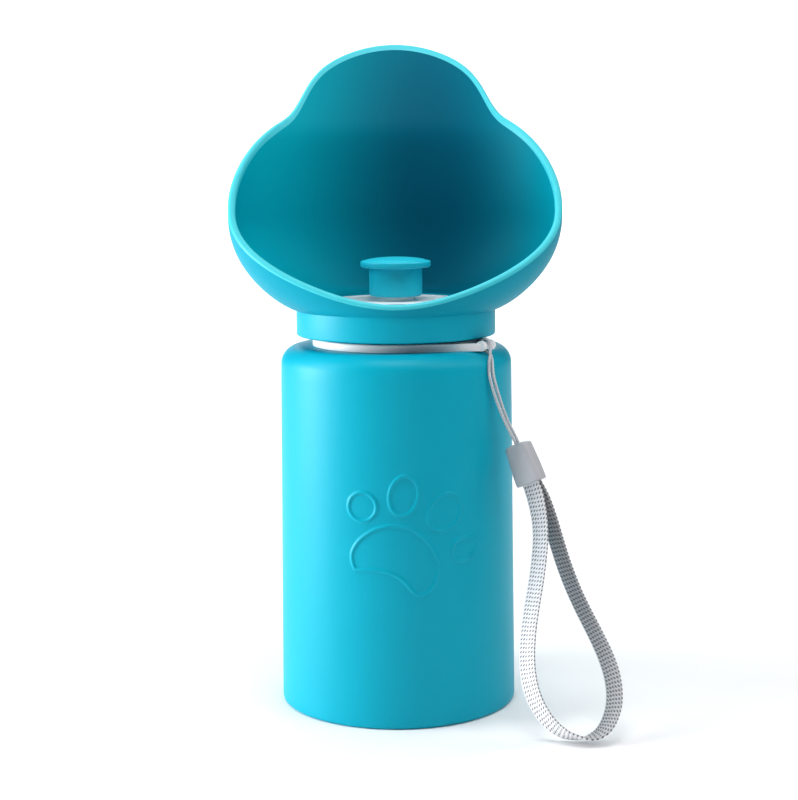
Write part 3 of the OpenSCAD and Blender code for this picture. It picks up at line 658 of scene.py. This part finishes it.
def add_sleeve():
    """The sleeve: a soft-edged block with a slot for the string above and one for the tape below."""
    sides = 96
    a = np.arange(sides) * 2 * math.pi / sides

    def oval(half_w, half_t, power, z):
        x = half_w * np.sign(np.cos(a)) * np.abs(np.cos(a)) ** (2 / power)
        y = half_t * np.sign(np.sin(a)) * np.abs(np.sin(a)) ** (2 / power)
        return [(x[k], y[k], z) for k in range(sides)]

    rings = []
    half_l = SLEEVE_L / 2
    top_w, top_t = SLEEVE_W / 2 * TOP_SHARE, SLEEVE_T / 2 * TOP_SHARE_T
    for turn in np.linspace(0, math.pi / 2, 10):
        rings.append(oval(top_w - TOP_ROUND_W * (1 - math.sin(turn)), top_t - TOP_ROUND_T * (1 - math.sin(turn)),
                          SLEEVE_SQUARE, half_l - TOP_ROUND_T * (1 - math.cos(turn))))
    for share in np.linspace(0, 1, 9)[1:]:
        swell = math.sin(math.pi / 2 * share)
        rings.append(oval(top_w + (SLEEVE_W / 2 - top_w) * swell, top_t + (SLEEVE_T / 2 - top_t) * swell,
                          SLEEVE_SQUARE, half_l - TOP_ROUND_T - (SLEEVE_L - TOP_ROUND_T - FOOT_ROUND) * share))
    for turn in np.linspace(0, math.pi / 2, 6)[1:]:
        inset = FOOT_ROUND * (1 - math.cos(turn))
        rings.append(oval(SLEEVE_W / 2 - inset, SLEEVE_T / 2 - inset, SLEEVE_SQUARE,
                          -half_l + FOOT_ROUND * (1 - math.sin(turn))))
    web_slot = (WEB_W / 2 + SLOT_GAP, WEB_APART + WEB_T / 2 + SLOT_GAP)
    string_slot = (STRING_D / 2 + SLOT_GAP, STRING_APART + STRING_D / 2 + SLOT_GAP)
    rings.append(oval(web_slot[0] + 0.2, web_slot[1] + 0.2, 8, -half_l))
    rings.append(oval(*web_slot, 8, -half_l + 0.25))
    rings.append(oval(*web_slot, 8, -half_l + SLOT_DEPTH))
    rings.append(oval(0.01, 0.01, 2, -half_l + SLOT_DEPTH))
    rings.append(oval(0.01, 0.01, 2, half_l - SLOT_DEPTH))
    rings.append(oval(*string_slot, 8, half_l - SLOT_DEPTH))
    rings.append(oval(*string_slot, 8, half_l - 0.2))
    turn = np.array(Matrix.Rotation(-SLEEVE_LEAN, 3, "Y"))
    points = np.array([p for ring in rings for p in ring]) @ turn.T + np.array(SLEEVE_AT)
    obj = piece("sleeve_shell", from_ear(points), ring_faces(len(rings), sides, True), SLEEVE, sharp=50)
    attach(obj, "lanyard")
    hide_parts("lanyard_sleeve")
    return obj


def add_lanyard():
    sleeve = add_sleeve()
    string_path = from_ear(smooth(STRING_ROUTE, 4))
    string = twisted_cord("string_strands", string_path, STRING_D, STRANDS, STRING_LAY, STRING)
    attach(string, "lanyard")
    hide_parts("lanyard_string")
    web_path = from_ear(smooth(WEB_ROUTE, 6))
    tape = woven_tape("webbing_tape", web_path, woven())
    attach(tape, "lanyard")
    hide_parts("wrist_webbing")


# ---- bottle ----

def paw_relief(x, z):
    """Height of the raised outline at a place on the front, from its distance to the nearest line."""
    x, z = np.asarray(x, float) - PAW_AT[0], np.asarray(z, float) - PAW_AT[1]
    nearest = np.full(x.shape, 1e3)
    loops = [smooth(PAD, 5, closed=True)]
    for cx, cz, half_w, half_h, turn in TOES:
        t = np.arange(56) * 2 * math.pi / 56
        c, s = math.cos(math.radians(turn)), math.sin(math.radians(turn))
        ex, ez = half_w * np.cos(t), half_h * np.sin(t)
        loops.append(np.column_stack([cx + c * ex - s * ez, cz + s * ex + c * ez]))
    for loop in loops:
        for p, q in zip(loop, np.roll(loop, -1, axis=0)):
            d = q - p
            share = np.clip(((x - p[0]) * d[0] + (z - p[1]) * d[1]) / (d @ d), 0, 1)
            nearest = np.minimum(nearest, np.hypot(x - p[0] - share * d[0], z - p[1] - share * d[1]))
    return LINE_H * np.clip(1 - (nearest / (LINE_W / 2)) ** 2, 0, 1) ** 1.2


def add_body():
    slope = (BASE_R - SHOULDER_R) / (SHOULDER_Z - SHOULDER_ROUND - BASE_ROUND)
    foot = BASE_R + slope * BASE_ROUND
    top = SHOULDER_R - slope * SHOULDER_ROUND
    outside = rounded([
        (0, 0, 0), (BASE_FLAT_R, 0, 0.3), (BASE_FLAT_R, BASE_HOLLOW, 0.3), (FOOT_R, BASE_HOLLOW, 0.4),
        (FOOT_R, 0, 0.4), (foot, 0, BASE_ROUND), (top, SHOULDER_Z, SHOULDER_ROUND),
        (GROOVE_R, SHOULDER_Z, 0.5), (GROOVE_R, FINISH_Z, 0.3), (FINISH_R, FINISH_Z, 0.2),
        (FINISH_R, MOUTH_Z, 0.3), (MOUTH_R, MOUTH_Z, 0.3),
        (MOUTH_R, SHOULDER_Z - BODY_WALL, 0.8), (top - BODY_WALL, SHOULDER_Z - BODY_WALL, 6.4),
        (BASE_R - BODY_WALL, BASE_HOLLOW + BODY_WALL, 3.0), (0, BASE_HOLLOW + BODY_WALL, 0)], 10)
    # The straight side gets rows, close together where the paw outline is
    low_z, high_z = PAW_AT[1] - PAW_BELOW, PAW_AT[1] + PAW_ABOVE
    at = next(i for i in range(len(outside) - 1)
              if outside[i + 1][1] - outside[i][1] > 80 and outside[i][0] > BASE_R - 2)
    a, b = outside[at], outside[at + 1]
    heights = np.concatenate([np.arange(a[1] + 2, low_z, 4), np.arange(low_z, high_z, PAW_ROW),
                              np.arange(high_z, b[1] - 1, 4)])
    side = np.column_stack([a[0] + (b[0] - a[0]) * (heights - a[1]) / (b[1] - a[1]), heights])
    outline = np.vstack([outside[:at + 1], side, outside[at + 1:]])
    # Columns: close together across the front
    fine = np.arange(-PAW_SIDE, PAW_SIDE, PAW_COLUMN / BASE_R) - math.pi / 2
    rest = np.linspace(PAW_SIDE, 2 * math.pi - PAW_SIDE, 130)[:-1] - math.pi / 2
    angles = np.concatenate([fine, rest])
    r, z = outline[:, 0][:, None], outline[:, 1][:, None]
    c, s = np.cos(angles)[None, :], np.sin(angles)[None, :]
    lift = np.zeros((len(outline), len(angles)))
    rows = slice(at + 1, at + 1 + len(side))
    lift[rows] = paw_relief((r * c)[rows], np.broadcast_to(z, lift.shape)[rows]) * (s < 0)
    verts = np.stack([(r + lift) * c, (r + lift) * s, np.broadcast_to(z, lift.shape)], axis=2).reshape(-1, 3)
    body = piece("bottle_shell", verts, ring_faces(len(outline), len(angles), True), TEAL)
    thread = add_thread("neck_thread", FINISH_R - 0.3, FINISH_R + THREAD_H, THREAD_Z, 0, TEAL)
    for obj in (body, thread):
        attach(obj, "bottle")
    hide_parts("bottle_body")


def add_thread(name, r_root, r_crest, z0, start, material):
    """One turn of a ridge that climbs by the pitch and dies away at both ends."""
    steps = 144
    verts = []
    for i in range(steps + 1):
        share = i / steps
        fade = min(1, 10 * share, 10 * (1 - share))
        a = start + 2 * math.pi * share
        crest = r_root + (r_crest - r_root) * (0.15 + 0.85 * math.sin(math.pi / 2 * fade))
        out = 1 if r_crest > r_root else -1
        for r, z in ((r_root, -RIDGE_ROOT / 2 * out), (crest, -RIDGE_CREST / 2 * out),
                     (crest, RIDGE_CREST / 2 * out), (r_root, RIDGE_ROOT / 2 * out)):
            verts.append((r * math.cos(a), r * math.sin(a), z0 + share * THREAD_PITCH + z))
    faces = ring_faces(steps + 1, 4, False) + [(0, 1, 2, 3), tuple(steps * 4 + k for k in (3, 2, 1, 0))]
    return piece(name, verts, faces, material, sharp=60)


# ---- collar and hood ----

def add_collar():
    collar = turned("collar_shell", rounded([
        (BORE_R, COLLAR_Z, 0.3), (COLLAR_R, COLLAR_Z, COLLAR_ROUND), (COLLAR_R, HOOD_Z, 0),
        (BORE_R, HOOD_Z, 0)]), TEAL)
    thread = add_thread("collar_thread", BORE_R + 0.3, COLLAR_CREST_R, COLLAR_THREAD_Z, COLLAR_THREAD_START, TEAL)
    for obj in (collar, thread):
        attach(obj, "hood")
    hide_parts("screw_collar")


def hood_radius(az, z):
    """Radius of the hood's outside: from the collar's round to an oval, the back leaning out at the top."""
    deep = np.where(np.sin(az) < 0, HOOD_FRONT, HOOD_BACK)
    oval = 1 / np.sqrt((np.cos(az) / HOOD_HALF_W) ** 2 + (np.sin(az) / deep) ** 2)
    swell = np.sin(math.pi / 2 * np.clip((z - HOOD_Z) / FLARE_H, 0, 1) ** FLARE_EXP)
    d = z - CREASE_Z
    lean = LOBE_LEAN * (d + np.sqrt(d * d + CREASE_SOFT ** 2)) / 2
    return COLLAR_R + (oval - COLLAR_R) * swell + np.where(np.sin(az) > 0, lean, 0)


def hood_point(az, z):
    r = hood_radius(az, z)
    return np.stack([r * np.cos(az), r * np.sin(az), z * np.ones_like(az)], axis=-1)


def hood_directions(az, z):
    """Outward and upward directions of the hood's outside."""
    step_az, step_z = math.radians(0.5), 0.2
    round_it = hood_point(az + step_az, z) - hood_point(az - step_az, z)
    up = hood_point(az, z + step_z) - hood_point(az, z - step_z)
    out = np.cross(round_it, up)
    return (out / np.linalg.norm(out, axis=-1, keepdims=True),
            up / np.linalg.norm(up, axis=-1, keepdims=True))


def rim_height(az):
    """Height of the rim: the mouth's plane, less the two notches beside the top lobe."""
    z = np.full(az.shape, HOOD_Z + FLARE_H)
    for _ in range(60):
        y = hood_radius(az, z) * np.sin(az)
        z = (z + HOOD_Z + LIP_H + (y + LIP_R) * math.tan(MOUTH_SLOPE)) / 2
    from_side = 90 - np.abs(90 - np.degrees(az))
    return z - NOTCH_D * np.exp(-((from_side - NOTCH_AZ) / NOTCH_W) ** 2 / 2)


def add_hood():
    az = np.arange(HOOD_SIDES) * 2 * math.pi / HOOD_SIDES
    rim = rim_height(np.where(az > 1.5 * math.pi, az - 2 * math.pi, az))
    rings = [hood_point(az, HOOD_Z + (rim - HOOD_Z) * (i / OUTSIDE_ROWS) ** 1.3) for i in range(OUTSIDE_ROWS + 1)]
    out, up = hood_directions(az, rim)
    edge = hood_point(az, rim)
    for a in math.pi * np.arange(1, RIM_ROWS) / RIM_ROWS:
        rings.append(edge + HOOD_WALL / 2 * ((math.cos(a) - 1) * out + math.sin(a) * up))

    def inside(z):
        return hood_point(az, z) - HOOD_WALL * hood_directions(az, z)[0]

    foot = np.minimum(FLOOR_TOP - 0.1, rim - 0.2)
    edge_foot = rim - np.minimum(RIM_DEPTH, 0.3 * (rim - foot))
    drop = (np.arange(BOWL_ROWS) / (BOWL_ROWS - 1)) ** 0.8
    rings += [inside(z) for z in [rim] + [edge_foot + (foot - edge_foot) * share for share in drop]]
    # The floor: a soft corner, the ledge and the hole that the plate's disc shows through
    wall_foot = inside(np.full(az.shape, HOOD_Z + 1.5))
    foot_r = np.hypot(wall_foot[:, 0], wall_foot[:, 1])
    hole_r = DISC_R + DISC_GAP

    def level(radius, z):
        radius = radius * np.ones_like(az)
        return np.stack([radius * np.cos(az), radius * np.sin(az), np.full(az.shape, z)], axis=-1)

    rings += [level(foot_r - inset, FLOOR_TOP + rise) for inset, rise in FLOOR_CORNER]
    rings += [level(radius, z) for radius, z in (
        (hole_r + 0.3, FLOOR_TOP), (hole_r + 0.08, FLOOR_TOP - 0.08), (hole_r, FLOOR_TOP - 0.3),
        (hole_r, FLANGE_TOP), (BORE_R, FLANGE_TOP), (BORE_R, HOOD_Z))]
    hood = piece("hood_shell", np.vstack(rings), ring_faces(len(rings), HOOD_SIDES, True), TEAL_HOOD_PAINTED_SHADE, sharp=50)
    hood.data.materials.append(TEAL_BOWL_PAINTED_SHADE)
    hood.data.materials.append(TEAL_RIM_PAINTED_HIGHLIGHT)
    # Rows of faces: the outside, the rim with the first of the wall, the bowl with its floor, the underside. The
    # outside and the underside take the darker teal as painted shade, the rim the lighter teal as a painted
    # highlight, and the bowl the teal with painted shade deep inside
    row = np.arange(len(hood.data.polygons)) // HOOD_SIDES
    rim_end = OUTSIDE_ROWS + RIM_ROWS + 1
    bowl_end = rim_end + BOWL_ROWS + FLOOR_ROWS
    tone = np.select([row < OUTSIDE_ROWS, row < rim_end, row < bowl_end], [0, 2, 1], 0)
    hood.data.polygons.foreach_set("material_index", tone)
    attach(hood, "hood")
    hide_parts("drinking_hood")


# ---- valve ----

def add_plate():
    """The white plate: a flange under the hood's floor, the ringed disc and the spout post."""
    disc = [(CHANNEL_R, PLATE_Z, 0.1), (PLATE_R, PLATE_Z, 0.2), (PLATE_R, FLANGE_TOP, 0.2), (DISC_R, FLANGE_TOP, 0.1),
            (DISC_R, DISC_TOP, 0.35)]
    for groove, depth in DISC_GROOVES:
        disc += [(groove + 0.35, DISC_TOP, 0.1), (groove + 0.2, DISC_TOP - depth, 0.05),
                 (groove - 0.2, DISC_TOP - depth, 0.05), (groove - 0.35, DISC_TOP, 0.1)]
    disc += [(POST_R, DISC_TOP, 0.4), (POST_R, POST_TOP, 0.4), (CHANNEL_R, POST_TOP, 0.3)]
    plate = turned("plate_disc", rounded(disc, 4), WHITE)
    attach(plate, "hood")
    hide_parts("valve_plate")


def add_cap():
    """The valve cap: a thin-edged finger flange with a low dome on a hollow skirt."""
    dome = CAP_TOP - CAP_EDGE_Z
    crown = [(CAP_R * 0.9 * math.sin(t), CAP_EDGE_Z + dome * math.cos(t) ** 1.2, 0)
             for t in np.linspace(math.radians(84), 0, 14)]
    outline = [(0, CAP_HOLLOW_TOP, 0), (CAP_HOLLOW_R, CAP_HOLLOW_TOP, 0.4), (CAP_HOLLOW_R, CAP_Z, 0.3),
               (CAP_SKIRT_R, CAP_Z, 0.8), (CAP_SKIRT_R, CAP_FLANGE_Z, 0.35), (CAP_R, CAP_FLANGE_Z, 0.6),
               (CAP_R, CAP_EDGE_Z, 0.9), *crown]
    # The cap takes the lighter teal, painted light
    cap = turned("cap_shell", rounded(outline, 7), TEAL_CAP_PAINTED_LIGHT, sides=144)
    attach(cap, "valve")
    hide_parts("valve_cap")


# ---- tether ring ----

def add_tether():
    band_out = BAND_IN + BAND_T
    band = turned("band", rounded([
        (BAND_IN, BAND_Z, 0.25), (band_out, BAND_Z, 0.5), (band_out, BAND_Z + BAND_H, 0.5),
        (BAND_IN, BAND_Z + BAND_H, 0.25)]), WHITE)
    parts = [band]
    mid = BAND_IN + BAND_T / 2
    for side in (-1, 1):
        end = np.array([BAR_AT, side * (EAR_HALF + BAND_T / 2)])
        reach = np.linalg.norm(end)
        touch_az = math.atan2(end[1], end[0]) + side * math.acos(mid / reach)
        start = mid * np.array([math.cos(touch_az), math.sin(touch_az)])
        middle, run = (start + end) / 2, end - start
        size = (np.linalg.norm(run), BAND_T - ARM_INSET, BAND_H - ARM_INSET)
        verts, faces = box_mesh((*middle, BAND_Z + BAND_H / 2), size, math.atan2(run[1], run[0]))
        parts.append(piece("arm", from_ear(verts), faces, WHITE))
        parts.append(barrel(end[1], BAND_T, EYE_R))
    parts.append(barrel(0, 2 * (EAR_HALF + 0.3), BAR_R))
    ring = joined("tether_band", parts, WHITE)
    bevel = ring.modifiers.new("soft_edges", "BEVEL")
    bevel.width = EAR_ROUND * MM
    bevel.segments = 3
    bevel.limit_method = "ANGLE"
    bevel.angle_limit = math.radians(50)
    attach(ring, "tether")
    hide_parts("tether_ring")


def barrel(along, length, radius):
    """A short cylinder round the swing axis, in the ear's frame."""
    sides = 40
    verts = [(BAR_AT + radius * math.cos(t), along + y, BAR_Z + radius * math.sin(t))
             for y in (-length / 2, length / 2) for t in np.arange(sides) * 2 * math.pi / sides]
    faces = ring_faces(2, sides, False) + [tuple(range(sides)), tuple(range(2 * sides - 1, sides - 1, -1))]
    return piece("barrel", from_ear(verts), faces, WHITE)


# ---- hidden pieces ----

def dress_nodes():
    """The pieces inside keep their own shape and get their finish."""
    for node, material, slot in (
            ("mouth_gasket", SILICONE, "clear_silicone"), ("valve_plunger", WHITE, "white_plastic"),
            ("plunger_seal", SEAL, "seal_rubber"), ("plunger_clip", WHITE, "white_plastic")):
        obj = frame["nodes"][node]
        obj.data.materials.clear()
        obj.data.materials.append(material)


# ---- studio ----

# Sweep, in millimetres
SWEEP_HALF = 850
SWEEP_FRONT = -650
SWEEP_BACK = 1600
SWEEP_BEND = 900
SWEEP_TOP = 4200
SWEEP_ROWS = 24

# Lights, in metres and watts: name, place, target, width, height and power
MIDDLE = (0, 0, 0.11)
LIGHTS = [
    ("left_softbox", (-0.999, -0.035, 0.145), MIDDLE, 0.6, 0.3, 9.0),
    ("left_high", (-0.853, -0.150, 0.61), MIDDLE, 0.4, 0.4, 3.2),
    ("right_high", (0.6124, -0.3536, 0.8171), MIDDLE, 0.4, 0.4, 1.7),
    ("right_side", (0.9063, 0.0, 0.5326), MIDDLE, 0.4, 0.4, 1.0),
    ("cap_top", (0, -0.16, 0.5), (0, -0.16, 0), 0.25, 0.2, 0.8),
    ("front", (0, -0.99, 0.249), MIDDLE, 0.3, 0.12, 0.4),
    ("wall_wash", (0, 0.9, 1.9), (0, 2.4, 0.5), 3.2, 1.0, 60)]
AIR_LIGHT = 0.08
AIR_SEEN = 1.0


def add_floor():
    """A pale sweep: floor, a wide bend and a wall far behind."""
    material, _, shader, _ = finish("pale_floor")
    shader.inputs["Base Color"].default_value = (0.93, 0.93, 0.94, 1)
    shader.inputs["Roughness"].default_value = 0.9
    profile = [(SWEEP_FRONT, 0)]
    profile += [(SWEEP_BACK + SWEEP_BEND * math.sin(t), SWEEP_BEND * (1 - math.cos(t)))
                for t in np.linspace(0, math.pi / 2, SWEEP_ROWS)]
    profile += [(SWEEP_BACK + SWEEP_BEND, SWEEP_TOP)]
    verts = [(x, y, z) for y, z in profile for x in (-SWEEP_HALF, SWEEP_HALF)]
    faces = [(2 * i, 2 * i + 1, 2 * i + 3, 2 * i + 2) for i in range(len(profile) - 1)]
    piece("studio_sweep", verts, faces, material, recalculate=False)


def area_light(name, place, target, width, height, power):
    data = bpy.data.lights.new(name, "AREA")
    data.shape = "RECTANGLE"
    data.size, data.size_y = width, height
    data.energy = power
    light = bpy.data.objects.new(name, data)
    light.location = place
    aim = np.array(target) - np.array(place)
    light.rotation_mode = "QUATERNION"
    light.rotation_quaternion = Vector(aim).to_track_quat("-Z", "Y")
    bpy.context.scene.collection.objects.link(light)


def add_lights():
    """A wide softbox low on the left, small soft fills, a washed wall and a white surround."""
    for light in LIGHTS:
        area_light(*light)
    world = bpy.context.scene.world or bpy.data.worlds.new("studio")
    bpy.context.scene.world = world
    world.use_nodes = True
    tree = world.node_tree
    backdrop = tree.nodes["Background"]
    backdrop.inputs["Color"].default_value = (1, 1, 1, 1)
    seen = linked(tree, "ShaderNodeLightPath").outputs["Is Camera Ray"]
    strength = linked(tree, "ShaderNodeMapRange", {"Value": seen, "To Min": AIR_LIGHT, "To Max": AIR_SEEN})
    tree.links.new(strength.outputs["Result"], backdrop.inputs["Strength"])
    bpy.context.scene.view_settings.view_transform = "Standard"
    bpy.context.scene.view_settings.look = "Medium High Contrast"


add_camera()
add_lanyard()
add_body()
add_collar()
add_hood()
add_plate()
add_cap()
add_tether()
dress_nodes()
add_floor()
add_lights()
